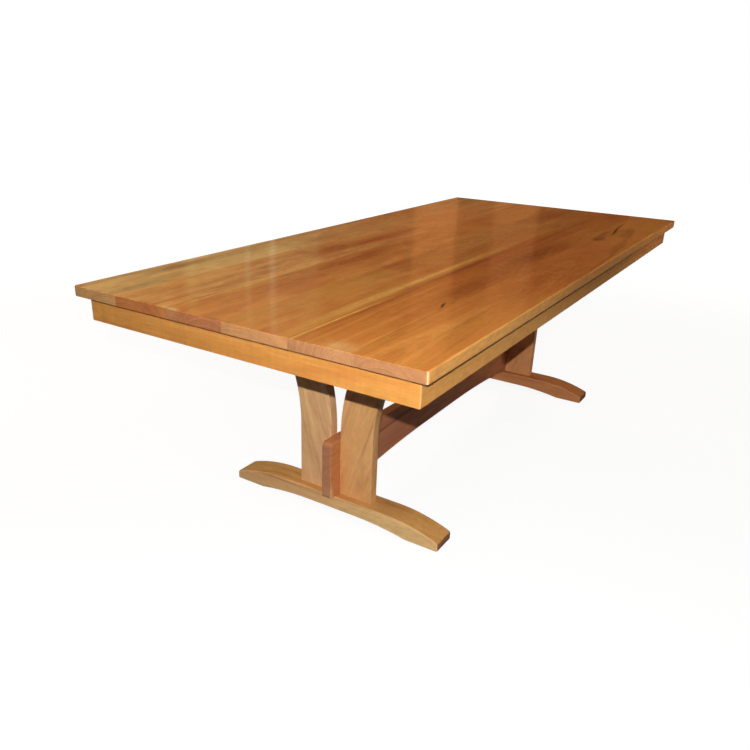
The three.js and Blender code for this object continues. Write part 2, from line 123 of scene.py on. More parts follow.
class Graph:
    """The nodes of one material, lamp or world."""

    def __init__(self, tree):
        self.tree = tree
        tree.nodes.clear()

    def node(self, kind, settings=None, inputs=None, output=0):
        """Adds a node: its settings first, then the values or wires of its sockets."""
        made = self.tree.nodes.new(kind)
        for name, value in (settings or {}).items():
            if name == "stops":
                self.set_stops(made.color_ramp, value)
            else:
                setattr(made, name, value)
        for name, value in (inputs or {}).items():
            if isinstance(value, Wire):
                self.tree.links.new(value.socket, made.inputs[name])
            else:
                made.inputs[name].default_value = value
        return Wire(self, made.outputs[output]) if made.outputs else None

    @staticmethod
    def set_stops(ramp, stops):
        while len(ramp.elements) < len(stops):
            ramp.elements.new(1.0)
        for element, (place, colour) in zip(ramp.elements, stops):
            element.position = place
            element.color = opaque(colour)

    def sum(self, operation, *values):
        return self.node("ShaderNodeMath", {"operation": operation}, dict(enumerate(values)))

    def vector(self, operation, a, b, output="Vector"):
        return self.node("ShaderNodeVectorMath", {"operation": operation}, {0: a, 1: b}, output)

    def dot(self, a, b):
        return self.vector("DOT_PRODUCT", a, tuple(b), "Value")

    def combine(self, x, y, z):
        return self.node("ShaderNodeCombineXYZ", None, {"X": x, "Y": y, "Z": z})

    def split(self, vector):
        parts = self.node("ShaderNodeSeparateXYZ", None, {"Vector": vector}).socket.node
        return [Wire(self, parts.outputs[axis]) for axis in "XYZ"]

    def noise(self, x, y, z, detail=2.0, roughness=0.5):
        """Smooth noise from 0 to 1 that changes over about one unit of x, y and z."""
        inputs = {"Scale": 1.0, "Detail": detail, "Roughness": roughness}
        inputs["Vector"] = self.combine(x, y, z)
        return self.node("ShaderNodeTexNoise", None, inputs, "Fac")

    def random(self, number):
        settings = {"noise_dimensions": "1D"}
        return self.node("ShaderNodeTexWhiteNoise", settings, {"W": number}, "Value")

    def ramp(self, factor, stops):
        return self.node("ShaderNodeValToRGB", {"stops": stops}, {"Fac": factor}, "Color")

    def step(self, value, low, high, out_low=0.0, out_high=1.0):
        """Rises smoothly from one value to another as the input goes from low to high."""
        settings = {"interpolation_type": "SMOOTHSTEP"}
        inputs = {"Value": value, "From Min": low, "From Max": high}
        inputs.update({"To Min": out_low, "To Max": out_high})
        return self.node("ShaderNodeMapRange", settings, inputs, "Result")

    def limit(self, value):
        return self.node("ShaderNodeClamp", None, {"Value": value})

    def blend(self, factor, a, b):
        """Mixes two linear colours."""
        a = a if isinstance(a, Wire) else opaque(a)
        b = b if isinstance(b, Wire) else opaque(b)
        inputs = {"Factor": factor, "A": a, "B": b}
        return self.node("ShaderNodeMix", {"data_type": "RGBA"}, inputs, "Result")

    def brighten(self, colour, factor):
        inputs = {"Vector": colour, "Scale": factor}
        return self.node("ShaderNodeVectorMath", {"operation": "SCALE"}, inputs, "Vector")


def new_material(name):
    material = bpy.data.materials.new(name)
    material.use_nodes = True
    return material, Graph(material.node_tree)


# Timber
@dataclass(frozen=True)
class Mark:
    """A streak, stain or crack: its middle and half sizes in metres, its slant in degrees."""

    along: float
    across: float
    half_length: float
    half_width: float
    colour: tuple
    strength: float
    slant: float = 0.0


@dataclass(frozen=True)
class Cut:
    """How a piece was sawn: which way its grain runs and where the pith lay from its middle.

    Drift is how far the pith moves away in a metre. A piece with curved faces names the axis that
    its flat faces look along.
    """

    grain: tuple
    across: tuple
    pith: tuple
    drift: tuple = (0.0, 0.01)
    seed: float = 0.0
    flat: tuple = ()


@dataclass(frozen=True)
class Tone:
    """The colours of a piece, from pale to dark and at its ends, and how strong its figure is."""

    pale: tuple
    middle: tuple
    dark: tuple
    end: tuple
    russet: float = 0.3
    honey: float = 0.3
    ring: float = 0.1
    end_ring: float = 0.2
    ripple: float = 0.0
    # How strongly eased edges take the pale colour: partly wear, partly a painted highlight
    edge_wear_and_highlight: float = 0.85
    # A darker colour for upward faces: painted shade of the grazing light on the tops
    upper: tuple = ()
    marks: tuple = ()


@dataclass(frozen=True)
class Pattern:
    """A noise in the timber: how often it changes in a metre along and across the grain.

    A shift moves it away from the other noises.
    """

    along: float
    across: float
    detail: float = 2.0
    roughness: float = 0.5
    shift: float = 0.0


WANDER = Pattern(1.1, 4.0)
WRIGGLE = Pattern(6.0, 26.0)
GLOW = Pattern(2.8, 24.0, detail=4.0, roughness=0.65, shift=3.0)
CLOUD = Pattern(3.4, 15.0)
MOTTLE = Pattern(26.0, 70.0, detail=3.0)
FIBRE = Pattern(3.0, 170.0, roughness=0.7)
FLECK = Pattern(55.0, 420.0)
PORE = Pattern(28.0, 850.0)
RIPPLE = Pattern(75.0, 7.0)
WEAR = Pattern(30.0, 90.0, detail=3.0)
# Streaks and tints follow the rings: across means outwards from the pith
STREAK = Pattern(0.5, 34.0, detail=4.0, roughness=0.62, shift=1.0)
TINT = Pattern(2.4, 18.0, detail=4.0, roughness=0.65, shift=7.0)
TINT_THROUGH = 14.0

# How far the years wander from an even width, and how often
YEAR_WANDER = 1.6
YEAR_WANDER_RATE = 0.4
# How sharply the latewood of a year ends, and how often it fades from year to year and along
LATEWOOD_SHARPNESS = 3.0
LATEWOOD_YEAR_RATE = 0.3
LATEWOOD_ALONG_RATE = 0.8
LATEWOOD_SHIFT = 3.0

# How far the finer wriggle of the grain reaches, as a share of its wander
WRIGGLE_SHARE = 0.16
# How much each pattern lightens or darkens the wood
CLOUD_DEPTH = 0.24
MOTTLE_DEPTH = 0.34
FLECK_DEPTH = 0.24
PORE_DEPTH = 0.10
# How much lighter or darker one year is than another, and what end grain adds to that
YEAR_DEPTH = 0.02
END_YEAR_DEPTH = 0.10
# How much fainter the fibres are on end grain
END_FIBRE_LOSS = 0.6
# Where on the noise of the streaks the colours of a tone stand, from dark to pale
STREAK_STOPS = (0.3, 0.45, 0.56, 0.72)
# How much the clouds shift the streaks, and the mottle the patches
STREAK_CLOUD = 0.2
PATCH_MOTTLE = 0.4
# Between which values of their noise the pores, russet tints, honey glow and patches come in
PORE_TURN = (0.66, 0.74)
TINT_TURN = (0.44, 0.68)
GLOW_TURN = (0.50, 0.74)
PATCH_TURN = (0.0, 0.2)
# How strong the patches are beside the tints
PATCH_SHARE = 0.8
# How much of a mark comes and goes with the wear of the wood, and how much is even
MARK_WORN = 1.6
MARK_EVEN = 0.2
# How square to the grain a face is where end grain starts, and how much of its colour it takes
END_TURN = (0.55, 0.9)
END_SHARE = 0.85
# The upper side's colour is painted shade: tops darkened as grazing light leaves them
# How level a face is where it takes the colour of an upper side, and how much of it
SHADED_TOP_TURN = (0.3, 0.9)
SHADED_TOP_SHARE = 0.6
# How square to an axis a face is where an eased edge turns into a flat face
EASED_TO_FLAT = (0.74, 0.92)
# The same on a piece with curved faces: from them to the eased edge, and on to a flat side
CURVED_TO_EASED = (0.10, 0.40)
EASED_TO_SIDE = (0.80, 0.97)
# How high fibres and latewood stand beside the depth of a pore, and that depth in metres
FIBRE_HEIGHT = 0.3
LATEWOOD_HEIGHT = 0.4
BUMP_STRENGTH = 0.25
BUMP_DEPTH = 0.0002
# How much fibres and pores roughen the wood under the lacquer, and how strongly it shines
FIBRE_ROUGHNESS = 0.12
PORE_ROUGHNESS = 0.15
BARE_SPECULAR = 0.2

RUSSET = shade(178, 84, 40)
HONEY = shade(206, 150, 66)
UMBER = shade(44, 20, 10)
# Pale colour of eased edges: partly real wear, partly a painted highlight of the lamp on their
# rounding
EDGE_WEAR_AND_HIGHLIGHT = shade(255, 214, 164)


class Figure:
    """The figure of a piece at a point: its place in the grain, growth rings, fibres and pores."""

    def __init__(self, graph, middle, cut):
        self.graph = graph
        self.cut = cut
        self.table = bpy.context.scene.table_timber
        grain = Vector(cut.grain).normalized()
        across = Vector(cut.across).normalized()
        place = graph.node("ShaderNodeTexCoord", None, None, "Object")
        place = graph.vector("SUBTRACT", place, tuple(middle))
        self.along = graph.dot(place, grain)
        self.across = graph.dot(place, across)
        self.through = graph.dot(place, grain.cross(across))
        self.normal = graph.node("ShaderNodeTexCoord", None, None, "Normal")
        self.end = graph.step(abs(graph.dot(self.normal, grain)), *END_TURN)
        self.radius = self.pith_distance()
        self.latewood, self.year_tone = self.growth_rings()
        self.cloud = self.noise(CLOUD) - 0.5
        self.mottle = self.noise(MOTTLE) - 0.5
        self.fibre = self.noise(FIBRE) - 0.5
        self.pore = graph.step(self.noise(PORE), *PORE_TURN)

    def noise(self, pattern):
        """Noise from 0 to 1, drawn out along the grain."""
        x = self.along * pattern.along + self.cut.seed
        y = self.across * pattern.across
        z = self.through * pattern.across
        if pattern.shift:
            z = z + pattern.shift
        return self.graph.noise(x, y, z, pattern.detail, pattern.roughness)

    def ring_noise(self, pattern, third):
        """Noise from 0 to 1 that follows the growth rings."""
        x = self.along * pattern.along + self.cut.seed
        y = self.radius * pattern.across
        return self.graph.noise(x, y, third, pattern.detail, pattern.roughness)

    def pith_distance(self):
        """How far the point lies from the pith, once the grain has wandered."""
        across = self.across - self.along * self.cut.drift[0] - self.cut.pith[0]
        through = self.through - self.along * self.cut.drift[1] - self.cut.pith[1]
        wander = (self.noise(WANDER) - 0.5) * self.table.wander
        wriggle = (self.noise(WRIGGLE) - 0.5) * (self.table.wander * WRIGGLE_SHARE)
        return (across * across + through * through) ** 0.5 + wander + wriggle

    def growth_rings(self):
        """How much latewood is there, and how light its year is. Years are wide or narrow."""
        graph, seed = self.graph, self.cut.seed
        years = self.radius / self.table.ring_width
        years = years + YEAR_WANDER * graph.noise(years * YEAR_WANDER_RATE + seed, 0.0, 0.0)
        year = graph.sum("FRACT", years)
        along = self.along * LATEWOOD_ALONG_RATE + seed
        fading = graph.noise(years * LATEWOOD_YEAR_RATE, along, LATEWOOD_SHIFT)
        latewood = year ** LATEWOOD_SHARPNESS * fading
        year_tone = graph.random(graph.sum("FLOOR", years) + seed) - 0.5
        return latewood, year_tone

    def mark_mask(self, wear, mark):
        """1 inside the mark and 0 outside it, with a ragged edge."""
        turn = math.radians(mark.slant)
        along = self.along - mark.along
        across = self.across - mark.across
        a = along * math.cos(turn) + across * math.sin(turn)
        b = across * math.cos(turn) - along * math.sin(turn)
        spread = (a / mark.half_length) ** 2.0 + (b / mark.half_width) ** 2.0
        bell = self.graph.sum("EXPONENT", -spread)
        return self.graph.limit(bell * (wear * MARK_WORN + MARK_EVEN) * mark.strength)

    def edge_wear_and_highlight_mask(self):
        """1 on the eased edges, where their wear and painted highlight go: between two flat faces,
        or between flat and curved ones.
        """
        graph = self.graph
        if self.cut.flat:
            facing = abs(graph.dot(self.normal, self.cut.flat))
            side = graph.step(facing, *EASED_TO_SIDE)
            return graph.step(facing, *CURVED_TO_EASED) * (1.0 - side)
        x, y, z = (abs(part) for part in graph.split(self.normal))
        largest = graph.sum("MAXIMUM", graph.sum("MAXIMUM", x, y), z)
        return 1.0 - graph.step(largest, *EASED_TO_FLAT)


def timber_hue(figure, tone):
    """The colour of the wood before its light and dark: streaks, patches, marks and end grain."""
    graph = figure.graph
    streak = figure.ring_noise(STREAK, STREAK.shift)
    tint = figure.ring_noise(TINT, figure.through * TINT_THROUGH + TINT.shift)
    glow = figure.noise(GLOW)
    patch = figure.cloud + figure.mottle * PATCH_MOTTLE

    stops = list(zip(STREAK_STOPS, (tone.dark, tone.middle, tone.middle, tone.pale)))
    colour = graph.ramp(streak + figure.cloud * STREAK_CLOUD, stops)
    patch_strength = tone.russet * PATCH_SHARE
    colour = graph.blend(graph.step(tint, *TINT_TURN, 0.0, tone.russet), colour, RUSSET)
    colour = graph.blend(graph.step(glow, *GLOW_TURN, 0.0, tone.honey), colour, HONEY)
    colour = graph.blend(graph.step(patch, *PATCH_TURN, 0.0, patch_strength), colour, RUSSET)
    wear = figure.noise(WEAR)
    for mark in tone.marks:
        colour = graph.blend(figure.mark_mask(wear, mark), colour, mark.colour)
    colour = graph.blend(figure.end * END_SHARE, colour, tone.end)
    # Upward faces take a darker colour: painted shade of the grazing light on them
    if tone.upper:
        upward = graph.split(figure.normal)[2]
        colour = graph.blend(graph.step(upward, *SHADED_TOP_TURN, 0.0, SHADED_TOP_SHARE), colour, tone.upper)
    return colour


def timber_light(figure, tone):
    """How light or dark the wood is: end grain has plainer rings and fainter fibres."""
    rings = figure.latewood * (tone.ring + figure.end * tone.end_ring)
    light = 1.0 - rings + figure.year_tone * (YEAR_DEPTH + figure.end * END_YEAR_DEPTH)
    fibre_depth = figure.table.fibre_depth * (1.0 - figure.end * END_FIBRE_LOSS)
    light = light + figure.fibre * fibre_depth
    light = light + figure.cloud * CLOUD_DEPTH + figure.mottle * MOTTLE_DEPTH
    light = light + (figure.noise(FLECK) - 0.5) * FLECK_DEPTH - figure.pore * PORE_DEPTH
    return light + (figure.noise(RIPPLE) - 0.5) * tone.ripple


def timber(name, middle, cut, tone):
    """Lacquered solid timber for a piece with its middle at a given point."""
    material, graph = new_material(name)
    figure = Figure(graph, middle, cut)
    colour = graph.brighten(timber_hue(figure, tone), timber_light(figure, tone))
    # Eased edges turn paler: partly wear, partly a painted highlight of the lamp on their rounding
    if tone.edge_wear_and_highlight:
        colour = graph.blend(figure.edge_wear_and_highlight_mask() * tone.edge_wear_and_highlight, colour, EDGE_WEAR_AND_HIGHLIGHT)
    height = figure.fibre * FIBRE_HEIGHT + figure.latewood * LATEWOOD_HEIGHT - figure.pore
    bump = {"Height": height, "Strength": BUMP_STRENGTH, "Distance": BUMP_DEPTH}
    roughness = figure.table.roughness + figure.fibre * FIBRE_ROUGHNESS
    surface = {
        "Base Color": colour,
        "Roughness": roughness + figure.pore * PORE_ROUGHNESS,
        "Normal": graph.node("ShaderNodeBump", None, bump),
        "Specular IOR Level": BARE_SPECULAR,
        "Coat Weight": figure.table.lacquer,
        "Coat Roughness": figure.table.lacquer_roughness,
    }
    shader = graph.node("ShaderNodeBsdfPrincipled", None, surface)
    graph.node("ShaderNodeOutputMaterial", None, {"Surface": shader})
    return material


def middle_of(node):
    low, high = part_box(node)
    return (low + high) / 2


def dress(node, cut, tone):
    """Gives a CAD node its timber and a shading that is smooth over eased edges."""
    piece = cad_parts[node]
    piece.data.materials.clear()
    piece.data.materials.append(timber(f"{node}_timber", middle_of(node), cut, tone))
    smooth(piece)


# Shading
SHARP_ANGLE = math.radians(38)
WELD_DISTANCE = 1e-5


def smoothing_group():
    """A node group that welds facets and shades smooth every edge that isn't sharp."""
    name = "smooth_shading"
    if name in bpy.data.node_groups:
        return bpy.data.node_groups[name]
    tree = bpy.data.node_groups.new(name, "GeometryNodeTree")
    tree.interface.new_socket("Geometry", in_out="INPUT", socket_type="NodeSocketGeometry")
    tree.interface.new_socket("Geometry", in_out="OUTPUT", socket_type="NodeSocketGeometry")
    graph = Graph(tree)
    start = graph.node("NodeGroupInput")
    near = {"Geometry": start, "Distance": WELD_DISTANCE}
    welded = graph.node("GeometryNodeMergeByDistance", None, near)
    faces = graph.node("GeometryNodeSetShadeSmooth", {"domain": "FACE"}, {"Geometry": welded})
    angle = graph.node("GeometryNodeInputMeshEdgeAngle")
    soft = graph.sum("LESS_THAN", angle, SHARP_ANGLE)
    edges = {"Geometry": faces, "Shade Smooth": soft}
    shaded = graph.node("GeometryNodeSetShadeSmooth", {"domain": "EDGE"}, edges)
    graph.node("NodeGroupOutput", None, {"Geometry": shaded})
    return tree


def smooth(piece):
    welding = piece.modifiers.new("smooth_shading", "NODES")
    welding.node_group = smoothing_group()
    weighing = piece.modifiers.new("weighted_normals", "WEIGHTED_NORMAL")
    weighing.keep_sharp = True


# Sawn pieces: grain, pith and colours of each
LENGTHWISE = (1, 0, 0)
CROSSWISE = (0, 1, 0)
UPRIGHT = (0, 0, 1)

STRAW = shade(244, 198, 104)
SAND = shade(250, 206, 140)
AMBER = shade(250, 186, 104)
TAN = shade(204, 132, 76)
OLIVE = shade(140, 118, 74)
DEEP_RED = shade(160, 68, 30)
BROWN = shade(122, 60, 26)
RED = shade(188, 84, 36)
OCHRE = shade(176, 104, 46)
ORANGE = shade(224, 134, 66)
ROSE = shade(196, 118, 90)
PLUM = shade(136, 78, 62)
APRICOT = shade(240, 150, 82)

NEAR_END = -1.20
END_MARK_HALF_LENGTH = 0.012


def end_mark(across, half_width, colour, strength):
    """A mark that shows on the near end of a board of the top and no further in."""
    return Mark(NEAR_END, across, END_MARK_HALF_LENGTH, half_width, colour, strength)


BOARDS = {
    "top_board_1": (
        Cut(LENGTHWISE, CROSSWISE, (-0.06, -0.14), (0.01, 0.012), 1.0),
        Tone(shade(254, 212, 142), shade(248, 194, 122), shade(216, 148, 84), shade(208, 154, 98),
             russet=0.45, honey=0.4, end_ring=0.3, marks=(
                 Mark(-1.06, -0.050, 0.12, 0.020, OLIVE, 0.5),
                 Mark(-0.86, 0.030, 0.16, 0.022, OLIVE, 0.5),
                 Mark(-0.55, 0.020, 0.14, 0.018, OLIVE, 0.4),
                 Mark(0.50, 0.00, 0.70, 0.15, ORANGE, 0.7),
                 end_mark(-0.010, 0.022, ROSE, 0.3),
             )),
    ),
    "top_board_2": (
        Cut(LENGTHWISE, CROSSWISE, (0.04, -0.09), (-0.012, 0.015), 2.7),
        Tone(shade(252, 196, 118), shade(244, 172, 98), shade(208, 122, 62), shade(196, 116, 66),
             russet=0.6, honey=0.2, end_ring=0.4, marks=(
                 Mark(-0.92, 0.002, 0.30, 0.018, DEEP_RED, 0.35),
                 Mark(-0.68, 0.000, 0.05, 0.016, DEEP_RED, 0.5),
                 Mark(-0.30, 0.005, 0.22, 0.045, DEEP_RED, 0.5, -2),
                 Mark(0.06, -0.020, 0.24, 0.045, DEEP_RED, 0.5),
                 Mark(-0.10, -0.024, 0.16, 0.026, RED, 0.8),
                 Mark(-0.35, 0.060, 0.18, 0.030, RED, 0.35),
                 Mark(0.70, 0.00, 0.60, 0.15, APRICOT, 0.7),
                 end_mark(-0.020, 0.022, DEEP_RED, 0.4),
                 end_mark(0.040, 0.012, SAND, 0.3),
                 end_mark(-0.085, 0.020, SAND, 0.4),
             )),
    ),
    "top_board_3": (
        Cut(LENGTHWISE, CROSSWISE, (-0.03, -0.12), (0.015, -0.012), 4.1),
        Tone(shade(246, 178, 98), shade(230, 150, 78), shade(178, 100, 48), shade(188, 120, 80),
             russet=0.55, honey=0.35, end_ring=0.45, marks=(
                 Mark(-0.85, 0.086, 0.35, 0.005, STRAW, 0.5),
                 Mark(-0.88, 0.015, 0.24, 0.032, RED, 0.45),
                 Mark(-0.42, 0.030, 0.26, 0.050, DEEP_RED, 0.5),
                 Mark(0.70, 0.00, 0.60, 0.15, ORANGE, 0.6),
                 end_mark(0.075, 0.018, SAND, 0.9),
                 end_mark(-0.060, 0.030, PLUM, 0.5),
             )),
    ),
    "top_board_4": (
        Cut(LENGTHWISE, CROSSWISE, (0.05, -0.20), (0.01, 0.01), 5.3),
        Tone(shade(240, 178, 96), shade(220, 146, 72), shade(178, 102, 44), shade(210, 152, 102),
             russet=0.45, honey=0.4, end_ring=0.3, marks=(
                 Mark(-0.33, 0.07, 0.24, 0.04, DEEP_RED, 0.3),
                 Mark(0.10, 0.00, 0.50, 0.15, RUSSET, 0.5),
                 Mark(0.95, 0.02, 0.30, 0.12, RUSSET, 0.6),
                 Mark(-0.55, -0.080, 0.50, 0.010, STRAW, 0.7),
                 Mark(-0.80, -0.066, 0.30, 0.006, STRAW, 0.3),
             )),
    ),
    "top_board_5": (
        Cut(LENGTHWISE, CROSSWISE, (-0.048, -0.045), (0.0, -0.02), 6.9),
        Tone(shade(238, 168, 84), shade(212, 132, 60), shade(160, 86, 36), shade(194, 138, 96),
             russet=0.4, honey=0.3, end_ring=0.3, marks=(
                 Mark(-0.25, 0.072, 0.40, 0.013, BROWN, 0.65),
                 Mark(-0.95, 0.066, 0.30, 0.004, BROWN, 0.3),
                 Mark(-1.00, 0.080, 0.25, 0.003, STRAW, 0.8),
                 Mark(0.30, 0.050, 0.45, 0.014, DEEP_RED, 0.5),
                 Mark(-0.10, 0.00, 0.50, 0.15, RUSSET, 0.6),
                 Mark(-0.50, -0.048, 0.24, 0.040, BROWN, 0.3),
                 Mark(0.03, -0.030, 0.20, 0.036, BROWN, 0.55),
                 Mark(1.10, -0.010, 0.08, 0.040, RED, 0.5),
                 Mark(0.80, 0.00, 0.45, 0.15, DEEP_RED, 0.25),
                 Mark(-0.95, -0.082, 0.35, 0.003, BROWN, 0.2),
                 Mark(-1.18, -0.040, 0.035, 0.040, SAND, 0.45),
                 Mark(-0.742, -0.068, 0.030, 0.004, BROWN, 0.9, 16),
                 Mark(-0.742, -0.068, 0.018, 0.0020, UMBER, 1.8, 16),
             )),
    ),
    "top_board_6": (
        Cut(LENGTHWISE, CROSSWISE, (0.016, -0.111), (0.0, -0.03), 8.2),
        Tone(shade(242, 174, 88), shade(216, 138, 64), shade(170, 96, 40), shade(186, 132, 92),
             russet=0.35, honey=0.35, end_ring=0.2, marks=(
                 Mark(-0.20, 0.01, 0.50, 0.11, RUSSET, 0.6),
                 Mark(0.50, 0.010, 0.35, 0.080, APRICOT, 0.20),
                 Mark(0.30, -0.088, 1.20, 0.005, AMBER, 0.45),
                 Mark(-0.90, -0.089, 0.65, 0.004, AMBER, 0.8),
                 Mark(-0.95, 0.072, 0.25, 0.003, BROWN, 0.2),
                 Mark(-0.90, -0.001, 0.35, 0.003, BROWN, 0.2),
                 Mark(0.62, 0.074, 0.100, 0.012, BROWN, 0.5),
                 Mark(0.497, 0.060, 0.034, 0.020, UMBER, 0.7),
                 Mark(0.525, 0.060, 0.036, 0.014, OCHRE, 1.4),
                 Mark(0.740, 0.055, 0.120, 0.006, BROWN, 0.8, 8),
                 Mark(0.720, 0.054, 0.080, 0.003, UMBER, 0.8, 8),
                 Mark(0.88, 0.070, 0.070, 0.003, BROWN, 0.8, 3),
             )),
    ),
}

APRON_TONE = Tone(
    shade(222, 156, 84), shade(210, 138, 68), shade(186, 110, 48), shade(190, 122, 68),
    russet=0.25, honey=0.5, ring=0.05, ripple=0.20)
NEAR_APRON_TONE = replace(
    APRON_TONE, pale=shade(238, 172, 94), middle=shade(226, 156, 78), dark=shade(204, 126, 58))
RIGHT_APRON_TONE = replace(NEAR_APRON_TONE, marks=(
    Mark(-0.70, 0.00, 0.60, 0.20, AMBER, 0.65),
    Mark(0.25, 0.00, 0.25, 0.20, BROWN, 0.15),
    Mark(1.00, 0.00, 0.35, 0.20, APRICOT, 0.50),
))
# Grain, place of the pith, seed and tone of each apron
APRONS = {
    "apron_end_near": (CROSSWISE, (-0.45, 0.03), 11.0, NEAR_APRON_TONE),
    "apron_end_far": (CROSSWISE, (-0.40, 0.03), 12.0, APRON_TONE),
    "apron_side_left": (LENGTHWISE, (-0.35, 0.05), 13.0, APRON_TONE),
    "apron_side_right": (LENGTHWISE, (-0.38, 0.04), 14.0, RIGHT_APRON_TONE),
}

LEFT_POST_TONE = Tone(
    shade(254, 214, 160), shade(240, 188, 134), shade(204, 144, 92), shade(196, 140, 92),
    russet=0.1, honey=0.15, ring=0.15, ripple=0.04, edge_wear_and_highlight=0.3, marks=(
        Mark(-0.02, -0.035, 0.14, 0.008, SAND, 0.8),
        Mark(0.03, -0.010, 0.10, 0.007, SAND, 0.5),
        Mark(-0.14, 0.000, 0.12, 0.005, BROWN, 0.2),
    ))
RIGHT_POST_TONE = Tone(
    shade(250, 202, 142), shade(238, 180, 116), shade(206, 140, 84), shade(196, 140, 92),
    russet=0.25, honey=0.15, ring=0.15, ripple=0.04, edge_wear_and_highlight=0.3, marks=(
        Mark(-0.05, 0.010, 0.16, 0.006, BROWN, 0.2),
        Mark(-0.25, -0.020, 0.08, 0.020, RED, 0.3),
    ))
FAR_RIGHT_POST_TONE = replace(
    RIGHT_POST_TONE, marks=(),
    pale=shade(250, 190, 134), middle=shade(238, 166, 108), dark=shade(200, 124, 72))
POST_GRAIN_LEAN = math.radians(16)

# The darker upper colour of the feet is painted shade of the grazing light on their tops
FOOT_TONE = Tone(
    shade(252, 208, 152), shade(242, 192, 132), shade(202, 146, 92), shade(140, 84, 50),
    russet=0.2, honey=0.25, ring=0.1, edge_wear_and_highlight=0.5, upper=shade(190, 128, 50), marks=(
        Mark(-0.24, -0.045, 0.20, 0.040, SAND, 0.7),
        Mark(0.10, 0.010, 0.20, 0.010, BROWN, 0.6),
        Mark(-0.20, 0.020, 0.10, 0.008, BROWN, 0.3),
    ))
# Its upper colour is darker still: painted shade on the top of the far foot
FAR_FOOT_TONE = replace(
    FOOT_TONE, upper=shade(164, 100, 50), marks=(),
    pale=shade(242, 172, 116), middle=shade(228, 152, 98), dark=shade(188, 114, 68))
STRETCHER_TONE = Tone(
    shade(240, 166, 122), shade(220, 144, 104), shade(168, 98, 70), shade(192, 130, 98),
    russet=0.3, honey=0.0, edge_wear_and_highlight=0.3, marks=(
        Mark(-0.75, 0.00, 0.05, 0.20, TAN, 0.9),
        Mark(-0.768, -0.08, 0.012, 0.025, SAND, 0.9),
    ))
PALE_TONE = Tone(
    shade(232, 202, 154), shade(220, 184, 132), shade(196, 156, 104), shade(206, 164, 116),
    russet=0.0, honey=0.0, edge_wear_and_highlight=0.0)

HIDDEN_GRAINS = {
    "bearer": CROSSWISE,
    "centre_batten": CROSSWISE,
    "stretcher_dowel": CROSSWISE,
    "corner_block": UPRIGHT,
}


def post_cut(side, seed):
    """Posts are sawn so that the grain leans outwards as they do."""
    lean = side * POST_GRAIN_LEAN
    grain = (0, math.sin(lean), math.cos(lean))
    across = (0, math.cos(lean), -math.sin(lean))
    return Cut(grain, across, (-0.05 * side, 0.10), (0.03 * side, 0.02), seed, LENGTHWISE)


def hidden_cut(grain, seed):
    """How a hidden piece was sawn, with the axis across its grain upright where it can be."""
    across = LENGTHWISE if grain == UPRIGHT else UPRIGHT
    return Cut(grain, across, (0.05, 0.08), seed=seed)


# Settings that a user would change
class TableTimber(bpy.types.PropertyGroup):
    """Figure and lacquer of all the timber."""

    ring_width: FloatProperty(
        name="Ring width", description="Distance between two growth rings",
        default=0.0065, min=0.001, max=0.05, subtype="DISTANCE", unit="LENGTH")
    wander: FloatProperty(
        name="Wander", description="How far the grain wanders to either side",
        default=0.030, min=0.0, max=0.2, subtype="DISTANCE", unit="LENGTH")
    fibre_depth: FloatProperty(
        name="Fibre depth", description="How strongly fine fibres show in the colour",
        default=0.28, min=0.0, max=1.0, subtype="FACTOR")
    roughness: FloatProperty(
        name="Timber roughness", description="Roughness of the timber under the lacquer",
        default=0.5, min=0.0, max=1.0, subtype="FACTOR")
    lacquer: FloatProperty(
        name="Lacquer", description="How much clear lacquer lies over the timber",
        default=0.6, min=0.0, max=1.0, subtype="FACTOR")
    lacquer_roughness: FloatProperty(
        name="Lacquer roughness", description="Lower makes sharper reflections",
        default=0.08, min=0.0, max=1.0, subtype="FACTOR")


class TableStretcher(bpy.types.PropertyGroup):
    """Waist of the stretcher."""

    top_dip: FloatProperty(
        name="Top dip", description="How far the top edge dips from full depth to the waist",
        default=0.026, min=0.0, max=0.08, subtype="DISTANCE", unit="LENGTH")
    under_rise: FloatProperty(
        name="Under rise", description="How far the lower edge rises from full depth to the waist",
        default=0.032, min=0.0, max=0.08, subtype="DISTANCE", unit="LENGTH")
    waist: FloatProperty(
        name="Waist", description="Length of the straight middle of the stretcher",
        default=0.300, min=0.0, max=1.0, subtype="DISTANCE", unit="LENGTH")


class TableScrews(bpy.types.PropertyGroup):
    """Steel screws under the top."""

    steel: FloatVectorProperty(
        name="Steel", description="Colour of the zinc-plated steel",
        default=(0.74, 0.73, 0.70), min=0.0, max=1.0, size=3, subtype="COLOR_GAMMA")
    head_height: FloatProperty(
        name="Head height", description="Height of the pan head",
        default=0.0035, min=0.001, max=0.02, subtype="DISTANCE", unit="LENGTH")
    shank_radius: FloatProperty(
        name="Shank radius", description="Radius of the shank",
        default=0.0025, min=0.0005, max=0.01, subtype="DISTANCE", unit="LENGTH")
    tip_length: FloatProperty(
        name="Tip length", description="Length of the point",
        default=0.006, min=0.001, max=0.02, subtype="DISTANCE", unit="LENGTH")


